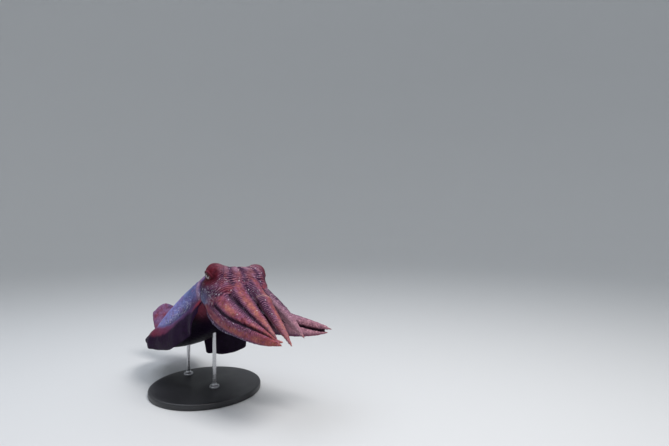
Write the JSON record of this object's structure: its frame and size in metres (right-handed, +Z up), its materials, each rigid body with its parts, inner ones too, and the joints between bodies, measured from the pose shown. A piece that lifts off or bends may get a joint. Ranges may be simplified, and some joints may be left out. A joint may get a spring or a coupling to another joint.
{
  "type": "giant australian cuttlefish model on a display stand",
  "caption": "Still life-size giant Australian cuttlefish, hovering nose first with drooped arms and wavy side fins, on a round display stand.",
  "frame": {"origin": "centre of the stand's underside, on the surface it stands on", "axes": "+Z up; the animal faces -Y and its own left side is +X"},
  "size_m": [0.27, 0.6926, 0.3267],
  "materials": {
    "mantle": "moist skin, lavender with magenta mottling",
    "head": "moist wrinkled skin, pink to dark purple",
    "funnel": "smooth moist skin, pale grey",
    "arm": "moist wrinkled skin, salmon red with dark bands",
    "fin": "thin moist skin, dark purple",
    "eye": "wet, glossy",
    "stand_base": "satin black",
    "stand_rod": "brushed"
  },
  "bodies": {
    "root": {"mantle": "mantle", "head": "head", "funnel": "funnel", "eye_right": "eye", "eye_left": "eye", "arm_right_1_base": "arm", "arm_right_1_tip": "arm", "arm_right_2_base": "arm", "arm_right_2_tip": "arm", "arm_right_3_base": "arm", "arm_right_3_tip": "arm", "arm_right_4_base": "arm", "arm_right_4_tip": "arm", "arm_left_1_base": "arm", "arm_left_1_tip": "arm", "arm_left_2_base": "arm", "arm_left_2_tip": "arm", "arm_left_3_base": "arm", "arm_left_3_tip": "arm", "arm_left_4_base": "arm", "arm_left_4_tip": "arm", "fin_right_front": "fin", "fin_right_middle": "fin", "fin_right_rear": "fin", "fin_left_front": "fin", "fin_left_middle": "fin", "fin_left_rear": "fin", "stand_base": "stand_base", "stand_rod_front": "stand_rod", "stand_rod_rear": "stand_rod"}
  },
  "joints": []
}
